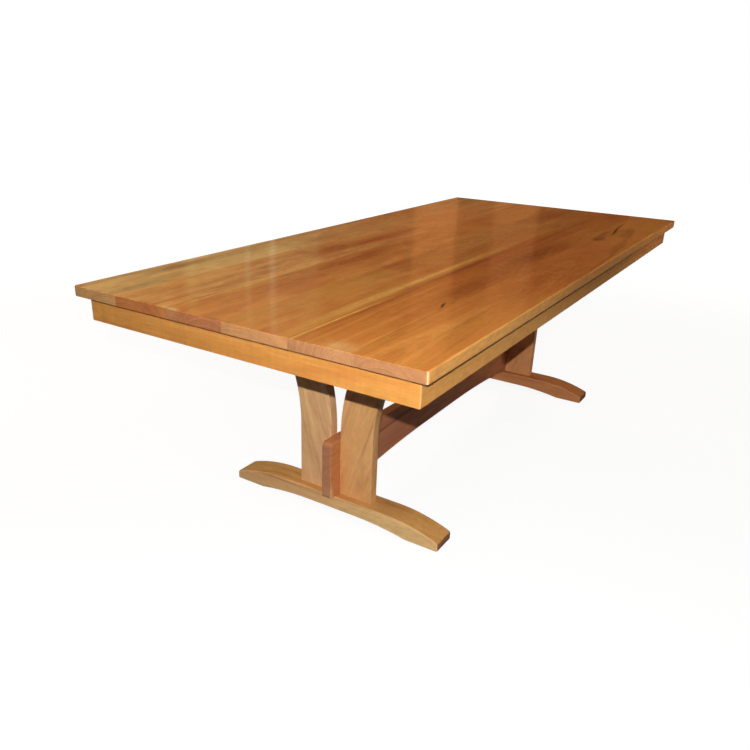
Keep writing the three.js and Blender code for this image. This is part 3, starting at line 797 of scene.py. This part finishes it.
class TableStudio(bpy.types.PropertyGroup):
    """Floor, lamps and camera."""

    floor_colour: FloatVectorProperty(
        name="Floor", description="Colour of the floor",
        default=(0.70, 0.71, 0.72), min=0.0, max=1.0, size=3, subtype="COLOR_GAMMA")
    floor_size: FloatProperty(
        name="Floor size", description="Side of the square floor",
        default=40.0, min=4.0, max=200.0, subtype="DISTANCE", unit="LENGTH")
    fill: FloatProperty(
        name="Fill", description="Strength of the soft light from the horizon",
        default=0.01, min=0.0, max=2.0)
    ceiling: FloatProperty(
        name="Ceiling", description="Strength of the soft light from straight above",
        default=0.22, min=0.0, max=2.0)
    tint: FloatVectorProperty(
        name="Tint", description="Colour of the soft light",
        default=(1.0, 0.88, 0.72), min=0.0, max=1.0, size=3, subtype="COLOR")
    key: FloatProperty(
        name="Key", description="Power of the lamp beside the camera",
        default=49.0, min=0.0, max=500.0, subtype="POWER")
    key_size: FloatProperty(
        name="Key size", description="Diameter of the lamp beside the camera",
        default=0.02, min=0.01, max=2.0, subtype="DISTANCE", unit="LENGTH")
    boxes: FloatProperty(
        name="Boxes", description="How bright the soft boxes round the table are",
        default=1.0, min=0.0, max=10.0)
    lens: FloatProperty(
        name="Lens", description="Focal length for a sensor 36 mm wide",
        default=34.565, min=10.0, max=200.0, unit="CAMERA")


# Stretcher
# How far from the middle its edges reach full depth, at the inner faces of the posts
FULL_DEPTH_START = 0.682
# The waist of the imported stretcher: dip of each edge, and length
PACKED_DIP = 0.044
PACKED_WAIST = 0.460
# How close to each other its edges are cut, so that they can bend
CUT_SPACING = 0.02


def edge_dip(x, dip, waist):
    """How far an edge of the stretcher lies in from full depth: a straight waist, then arcs."""
    run = FULL_DEPTH_START - waist / 2
    reach = min(max(abs(x) - waist / 2, 0.0), run)
    radius = (run * run + dip * dip) / (2 * dip)
    return dip - radius + math.sqrt(radius * radius - reach * reach)


def stretcher_mesh(packed, stretcher):
    """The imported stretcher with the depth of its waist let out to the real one's."""
    mesh = bmesh.new()
    mesh.from_mesh(packed)
    bmesh.ops.remove_doubles(mesh, verts=mesh.verts, dist=WELD_DISTANCE)
    cuts = round(2 * FULL_DEPTH_START / CUT_SPACING)
    for i in range(cuts + 1):
        x = FULL_DEPTH_START * (2 * i / cuts - 1)
        bmesh.ops.bisect_plane(
            mesh, geom=[*mesh.verts, *mesh.edges, *mesh.faces], dist=WELD_DISTANCE,
            plane_co=(x, 0, 0), plane_no=LENGTHWISE)
    heights = [vertex.co.z for vertex in mesh.verts]
    middle = (min(heights) + max(heights)) / 2
    for vertex in mesh.verts:
        x = vertex.co.x
        packed_dip = edge_dip(x, PACKED_DIP, PACKED_WAIST)
        if vertex.co.z > middle:
            vertex.co.z += packed_dip - edge_dip(x, stretcher.top_dip, stretcher.waist)
        else:
            vertex.co.z -= packed_dip - edge_dip(x, stretcher.under_rise, stretcher.waist)
    data = bpy.data.meshes.new("shaped_stretcher")
    mesh.to_mesh(data)
    mesh.free()
    return data


# Screws
# Grime on the steel: how fine it is, and how much it darkens and roughens the metal
GRIME_SCALE = 900.0
GRIME_TURN = (0.4, 0.7)
GRIME_SHADE = 0.6
GRIME_ROUGHNESS = 0.25
STEEL_ROUGHNESS = 0.25

# The cross recess in a head: its arms, its depth and its size at the bottom as a share
RECESS_REACH = 0.0024
RECESS_HALF_WIDTH = 0.0006
RECESS_DEPTH = 0.0020
RECESS_TAPER = 0.55
HEAD_SIDES = 24
# Rounding of a pan head, from its flat to its rim: shares of its radius and of its height
HEAD_SHARES = [(0.60, 0.0), (0.80, 0.06), (0.93, 0.24), (1.0, 0.55), (1.0, 1.0)]


def cross_outline():
    """The outline of a cross recess, going round."""
    quarter = [
        (RECESS_REACH, -RECESS_HALF_WIDTH),
        (RECESS_REACH, RECESS_HALF_WIDTH),
        (RECESS_HALF_WIDTH, RECESS_HALF_WIDTH),
    ]
    points = []
    for turn in range(4):
        for x, y in quarter:
            for _ in range(turn):
                x, y = -y, x
            points.append((x, y))
    return points


def ring_of(mesh, outline, height, scale=1.0):
    return [mesh.verts.new((x * scale, y * scale, height)) for x, y in outline]


def pairs(ring):
    """Each point of a ring with the next one, going round."""
    return list(zip(ring, ring[1:] + ring[:1]))


def skin(mesh, lower, upper):
    for (a, b), (c, d) in zip(pairs(lower), pairs(upper)):
        mesh.faces.new((a, b, d, c))


def screw_mesh(name, head_radius, length, screws):
    """A pan-head wood screw, its head down at the origin and its point up."""
    mesh = bmesh.new()
    turns = [2 * math.pi * i / HEAD_SIDES for i in range(HEAD_SIDES)]
    circle = [(math.cos(turn), math.sin(turn)) for turn in turns]
    profile = [(head_radius * r, screws.head_height * h) for r, h in HEAD_SHARES]
    profile.append((screws.shank_radius, screws.head_height))
    profile.append((screws.shank_radius, length - screws.tip_length))
    rings = [ring_of(mesh, circle, height, radius) for radius, height in profile]
    for lower, upper in zip(rings, rings[1:]):
        skin(mesh, lower, upper)
    point = mesh.verts.new((0, 0, length))
    for a, b in pairs(rings[-1]):
        mesh.faces.new((a, b, point))
    mouth = ring_of(mesh, cross_outline(), 0.0)
    rim = [mesh.edges.get(pair) for pair in pairs(rings[0])]
    lip = [mesh.edges.new(pair) for pair in pairs(mouth)]
    bmesh.ops.triangle_fill(mesh, edges=rim + lip, use_beauty=True)
    floor = ring_of(mesh, cross_outline(), RECESS_DEPTH, RECESS_TAPER)
    skin(mesh, mouth, floor)
    mesh.faces.new(floor)
    bmesh.ops.recalc_face_normals(mesh, faces=mesh.faces)
    for face in mesh.faces:
        face.smooth = True
    data = bpy.data.meshes.new(name)
    mesh.to_mesh(data)
    mesh.free()
    return data


def steel_material(screws):
    material, graph = new_material("screw_steel_bright")
    place = graph.node("ShaderNodeTexCoord", None, None, "Object")
    parts = {"Vector": place, "Scale": GRIME_SCALE, "Detail": 3.0}
    grime = graph.node("ShaderNodeTexNoise", None, parts, "Fac")
    steel = linear(screws.steel)
    dull = tuple(c * GRIME_SHADE for c in steel)
    roughness = STEEL_ROUGHNESS + grime * GRIME_ROUGHNESS
    colour = graph.blend(graph.step(grime, *GRIME_TURN), steel, dull)
    surface = {"Base Color": colour, "Metallic": 1.0, "Roughness": roughness}
    shader = graph.node("ShaderNodeBsdfPrincipled", None, surface)
    graph.node("ShaderNodeOutputMaterial", None, {"Surface": shader})
    return material


# Operators
class TABLE_OT_top_boards(bpy.types.Operator):
    """Finishes the six boards of the top"""

    bl_idname = "table.top_boards"
    bl_label = "Top Boards"

    def execute(self, context):
        for node, (cut, tone) in BOARDS.items():
            dress(node, cut, tone)
        return {"FINISHED"}


class TABLE_OT_apron_frame(bpy.types.Operator):
    """Finishes the mitred aprons under the top"""

    bl_idname = "table.apron_frame"
    bl_label = "Apron Frame"

    def execute(self, context):
        for node, (grain, pith, seed, tone) in APRONS.items():
            dress(node, Cut(grain, UPRIGHT, pith, (0.0, 0.0), seed), tone)
        return {"FINISHED"}


class TABLE_OT_posts(bpy.types.Operator):
    """Finishes the paired posts of both pedestals"""

    bl_idname = "table.posts"
    bl_label = "Posts"

    def execute(self, context):
        right_tones = [("near", RIGHT_POST_TONE), ("far", FAR_RIGHT_POST_TONE)]
        for i, (place, right_tone) in enumerate(right_tones):
            dress(f"post_{place}_left", post_cut(1, seed=20.0 + i), LEFT_POST_TONE)
            dress(f"post_{place}_right", post_cut(-1, seed=24.0 + i), right_tone)
        return {"FINISHED"}


class TABLE_OT_feet(bpy.types.Operator):
    """Finishes the shaped feet"""

    bl_idname = "table.feet"
    bl_label = "Feet"

    def execute(self, context):
        for i, (node, tone) in enumerate([("foot_near", FOOT_TONE), ("foot_far", FAR_FOOT_TONE)]):
            cut = Cut(CROSSWISE, LENGTHWISE, (0.02, 0.09), (0.0, 0.02), 30.0 + i, LENGTHWISE)
            dress(node, cut, tone)
        return {"FINISHED"}


class TABLE_OT_stretcher(bpy.types.Operator):
    """Makes the waisted stretcher"""

    bl_idname = "table.stretcher"
    bl_label = "Stretcher"

    def execute(self, context):
        cut = Cut(LENGTHWISE, UPRIGHT, (-0.03, 0.05), (0.01, 0.0), 40.0, CROSSWISE)
        wood = timber("stretcher_timber", middle_of("stretcher"), cut, STRETCHER_TONE)
        data = stretcher_mesh(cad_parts["stretcher"].data, context.scene.table_stretcher)
        data.materials.clear()
        data.materials.append(wood)
        piece = bpy.data.objects.new("shaped_stretcher", data)
        context.scene.collection.objects.link(piece)
        smooth(piece)
        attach(piece, BODY)
        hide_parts("stretcher")
        return {"FINISHED"}


class TABLE_OT_hidden_joinery(bpy.types.Operator):
    """Finishes the bearers, batten, glue blocks, buttons and dowels"""

    bl_idname = "table.hidden_joinery"
    bl_label = "Hidden Joinery"

    def execute(self, context):
        for i, node in enumerate(sorted(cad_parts)):
            seed = 50.0 + i
            for start, grain in HIDDEN_GRAINS.items():
                if node.startswith(start) and "screw" not in node:
                    dress(node, hidden_cut(grain, seed), PALE_TONE)
            if node.startswith("apron_button"):
                low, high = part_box(node)
                grain = LENGTHWISE if high.x - low.x > high.y - low.y else CROSSWISE
                dress(node, hidden_cut(grain, seed), PALE_TONE)
        return {"FINISHED"}


class TABLE_OT_screws(bpy.types.Operator):
    """Makes the steel screws, with their cross recesses, over the plain ones"""

    bl_idname = "table.screws"
    bl_label = "Screws"

    def execute(self, context):
        screws = context.scene.table_screws
        steel = steel_material(screws)
        for node in sorted(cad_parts):
            if "screw" not in node:
                continue
            low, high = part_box(node)
            data = screw_mesh(f"{node}_mesh", (high.x - low.x) / 2, high.z - low.z, screws)
            data.materials.append(steel)
            piece = bpy.data.objects.new(f"steel_{node}", data)
            piece.location = ((low.x + high.x) / 2, (low.y + high.y) / 2, low.z)
            context.scene.collection.objects.link(piece)
            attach(piece, BODY)
            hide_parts(node)
        return {"FINISHED"}


# Studio
# Where the camera stands, and its turn in degrees
CAMERA_EYE = (-2.4112, -1.1511, 1.2737)
CAMERA_TURN = (65.790, -1.518, -56.963)
# Where the picture's middle lies from the lens axis, in pixels
CAMERA_OFFSET = (17.7, 36.8)

KEY_PLACE = (-2.546, -1.22, 1.45)
KEY_AIM = (-0.6, -0.1, 0.5)


@dataclass(frozen=True)
class SoftBox:
    """A square lamp: where it stands, what it aims at, its watts, side and spread in degrees."""

    place: tuple
    aim: tuple
    power: float
    side: float
    spread: float = 180.0


BOXES = {
    "back_box": SoftBox((6.5, 5.5, 4.5), (0.0, 0.0, 0.4), 220.0, 4.0),
    "left_box": SoftBox((-0.9, 2.4, 2.0), (-0.7, 0.5, 0.7), 20.0, 1.0),
    "right_box": SoftBox((1.6, -1.8, 1.15), (1.0, -0.55, 0.72), 0.85, 0.8, spread=44.0),
    "side_box": SoftBox((0.2, -3.0, 4.3), (0.2, -0.3, 0.7), 48.0, 2.0),
}


@dataclass(frozen=True)
class Window:
    """A tall pale window or door that the lacquer mirrors: its sides and their softness as
    bearings in degrees, and its glow."""

    left: float
    right: float
    soft: float
    glow: tuple


ROOM_GLOW = (0.02, 0.015, 0.01)
WINDOWS = [
    Window(54.0, 47.6, 0.6, (0.12, 0.18, 0.08)),
    Window(46.2, 45.4, 0.3, (0.26, 0.32, 0.14)),
    Window(45.3, 41.7, 0.3, (0.09, 0.15, 0.08)),
    Window(41.6, 41.2, 0.1, (0.36, 0.42, 0.24)),
    Window(41.1, 39.7, 0.3, (0.09, 0.15, 0.08)),
    Window(39.7, 39.2, 0.1, (0.50, 0.54, 0.34)),
    Window(39.2, 35.8, 0.15, (0.14, 0.16, 0.08)),
    Window(30.2, 28.5, 0.4, (0.10, 0.04, 0.02)),
    Window(28.4, 25.1, 0.2, (0.47, 0.18, 0.06)),
    Window(22.3, 19.1, 0.3, (0.29, 0.13, 0.05)),
    Window(108.0, 72.0, 6.0, (0.30, 0.28, 0.24)),
    Window(-72.0, -108.0, 6.0, (0.30, 0.28, 0.24)),
]
# Up to which height the windows reach, as the upward part of a direction
WINDOW_TOP = (0.45, 0.75)
# How white the floor glows for the camera, so that lit floor clips to white and a shadow is left
FLOOR_GLOW = 0.90
# How far from the middle the shadow starts to fade into white, and where it is gone
FLOOR_SHADOW_REACH = (1.6, 5.0)
# How much of its light the floor throws back at the table
FLOOR_LIGHT_KEPT = 0.30


def add_lamp(name, place, aim, power, **settings):
    """Adds a lamp that the lacquer doesn't mirror."""
    lamp = bpy.data.lights.new(name, "AREA")
    lamp.energy = power
    for key, value in settings.items():
        setattr(lamp, key, value)
    lamp_object = bpy.data.objects.new(name, lamp)
    lamp_object.location = place
    lamp_object.rotation_euler = (Vector(aim) - Vector(place)).to_track_quat("-Z", "Y").to_euler()
    lamp_object.visible_glossy = False
    bpy.context.scene.collection.objects.link(lamp_object)


def add_floor(studio):
    half = studio.floor_size / 2
    mesh = bmesh.new()
    corners = [(-half, -half), (half, -half), (half, half), (-half, half)]
    mesh.faces.new([mesh.verts.new((x, y, 0.0)) for x, y in corners])
    data = bpy.data.meshes.new("studio_floor")
    mesh.to_mesh(data)
    mesh.free()
    floor = bpy.data.objects.new("studio_floor", data)
    bpy.context.scene.collection.objects.link(floor)
    material, graph = new_material("studio_floor")
    place = graph.node("ShaderNodeTexCoord", None, None, "Object")
    away = graph.node("ShaderNodeVectorMath", {"operation": "LENGTH"}, {0: place}, "Value")
    glow = graph.step(away, *FLOOR_SHADOW_REACH, FLOOR_GLOW, 1.0)
    seen = graph.node("ShaderNodeLightPath", None, None, "Is Camera Ray")
    colour = opaque(c * FLOOR_LIGHT_KEPT for c in linear(studio.floor_colour))
    matt = graph.node("ShaderNodeBsdfDiffuse", None, {"Color": colour})
    shine = {"Color": opaque((1.0, 1.0, 1.0)), "Strength": glow * seen}
    white = graph.node("ShaderNodeEmission", None, shine)
    both = graph.node("ShaderNodeAddShader", None, {0: matt, 1: white})
    graph.node("ShaderNodeOutputMaterial", None, {"Surface": both})
    data.materials.append(material)


def set_world(studio):
    """White for the camera, a room with windows for the lacquer to mirror, else soft light."""
    world = bpy.data.worlds.new("studio_world")
    bpy.context.scene.world = world
    world.use_nodes = True
    graph = Graph(world.node_tree)
    direction = graph.node("ShaderNodeTexCoord", None, None, "Generated")
    x, y, z = graph.split(direction)
    bearing = graph.sum("ARCTAN2", y, x) * math.degrees(1)
    low = 1.0 - graph.step(z, *WINDOW_TOP)
    room = ROOM_GLOW
    for window in WINDOWS:
        past_right, past_left = (
            graph.step(bearing, side - window.soft, side + window.soft)
            for side in (window.right, window.left))
        room = graph.blend((past_right - past_left) * low, room, window.glow)
    up = graph.sum("MAXIMUM", z, 0.0)
    fill = graph.brighten(tuple(studio.tint), up * up * studio.ceiling + studio.fill)
    camera = graph.node("ShaderNodeLightPath", None, None, "Is Camera Ray")
    through = graph.node("ShaderNodeLightPath", None, None, "Is Transmission Ray")
    glossy = graph.node("ShaderNodeLightPath", None, None, "Is Glossy Ray")
    light = graph.blend(glossy, fill, room)
    light = graph.blend(graph.sum("MAXIMUM", camera, through), light, (1.0, 1.0, 1.0))
    background = graph.node("ShaderNodeBackground", None, {"Color": light, "Strength": 1.0})
    graph.node("ShaderNodeOutputWorld", None, {"Surface": background})


def add_camera(studio):
    data = bpy.data.cameras.new("camera")
    data.sensor_width = SENSOR_WIDTH
    data.lens = studio.lens
    data.shift_x = CAMERA_OFFSET[0] / PICTURE_SIDE
    data.shift_y = CAMERA_OFFSET[1] / PICTURE_SIDE
    camera = bpy.data.objects.new("camera", data)
    camera.location = CAMERA_EYE
    camera.rotation_euler = [math.radians(angle) for angle in CAMERA_TURN]
    bpy.context.scene.collection.objects.link(camera)
    bpy.context.scene.camera = camera


class TABLE_OT_studio(bpy.types.Operator):
    """Makes the floor, the lamps, the world and the camera"""

    bl_idname = "table.studio"
    bl_label = "Studio"

    def execute(self, context):
        studio = context.scene.table_studio
        add_floor(studio)
        set_world(studio)
        add_lamp("key_lamp", KEY_PLACE, KEY_AIM, studio.key, shape="DISK", size=studio.key_size)
        for name, box in BOXES.items():
            add_lamp(name, box.place, box.aim, box.power * studio.boxes, shape="SQUARE",
                     size=box.side, spread=math.radians(box.spread), color=tuple(studio.tint))
        add_camera(studio)
        context.scene.view_settings.view_transform = "Standard"
        return {"FINISHED"}


class TABLE_PT_sidebar(bpy.types.Panel):
    """Settings and steps of the table"""

    bl_idname = "TABLE_PT_sidebar"
    bl_label = "Pedestal Dining Table"
    bl_space_type = "VIEW_3D"
    bl_region_type = "UI"
    bl_category = "Table"

    def draw(self, context):
        layout = self.layout
        for group in SETTINGS:
            settings = getattr(context.scene, group)
            box = layout.box()
            for name in settings.__annotations__:
                box.prop(settings, name)
        for operator in OPERATORS:
            layout.operator(operator.bl_idname)


SETTINGS = {
    "table_timber": TableTimber,
    "table_stretcher": TableStretcher,
    "table_screws": TableScrews,
    "table_studio": TableStudio,
}
OPERATORS = [
    TABLE_OT_studio,
    TABLE_OT_top_boards,
    TABLE_OT_apron_frame,
    TABLE_OT_posts,
    TABLE_OT_feet,
    TABLE_OT_stretcher,
    TABLE_OT_hidden_joinery,
    TABLE_OT_screws,
]


def register():
    for cls in [*SETTINGS.values(), *OPERATORS, TABLE_PT_sidebar]:
        bpy.utils.register_class(cls)
    for name, cls in SETTINGS.items():
        setattr(bpy.types.Scene, name, PointerProperty(type=cls))


def unregister():
    for name in SETTINGS:
        delattr(bpy.types.Scene, name)
    for cls in [TABLE_PT_sidebar, *OPERATORS, *SETTINGS.values()]:
        bpy.utils.unregister_class(cls)


def main():
    register()
    bpy.ops.table.studio()
    bpy.ops.table.top_boards()
    bpy.ops.table.apron_frame()
    bpy.ops.table.posts()
    bpy.ops.table.feet()
    bpy.ops.table.stretcher()
    bpy.ops.table.hidden_joinery()
    bpy.ops.table.screws()


if __name__ == "__main__":
    main()
